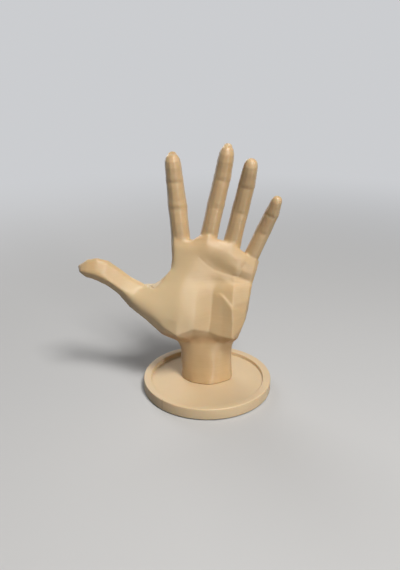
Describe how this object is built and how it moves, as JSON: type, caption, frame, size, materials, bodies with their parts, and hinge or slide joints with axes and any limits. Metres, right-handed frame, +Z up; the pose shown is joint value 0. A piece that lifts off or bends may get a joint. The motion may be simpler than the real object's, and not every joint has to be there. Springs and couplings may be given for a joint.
{
  "type": "hand jewelry display",
  "caption": "Open left hand with spread fingers that stands in a round ring dish, for showing rings and bracelets.",
  "frame": {"origin": "centre of the dish's underside", "axes": "+Z up along the wrist, -Y towards the palm side, -X towards the thumb"},
  "size_m": [0.175, 0.12, 0.2296],
  "materials": {
    "printed": "fine horizontal print layers",
    "steel": "machined",
    "brass": "machined",
    "rubber": "matt"
  },
  "bodies": {
    "root": {"base_dish": "printed", "hand": "printed", "insert_thumb_side": "brass", "screw_thumb_side": "steel", "insert_little_finger_side": "brass", "screw_little_finger_side": "steel", "foot_pad_1": "rubber", "foot_pad_2": "rubber", "foot_pad_3": "rubber", "foot_pad_4": "rubber"}
  },
  "joints": []
}
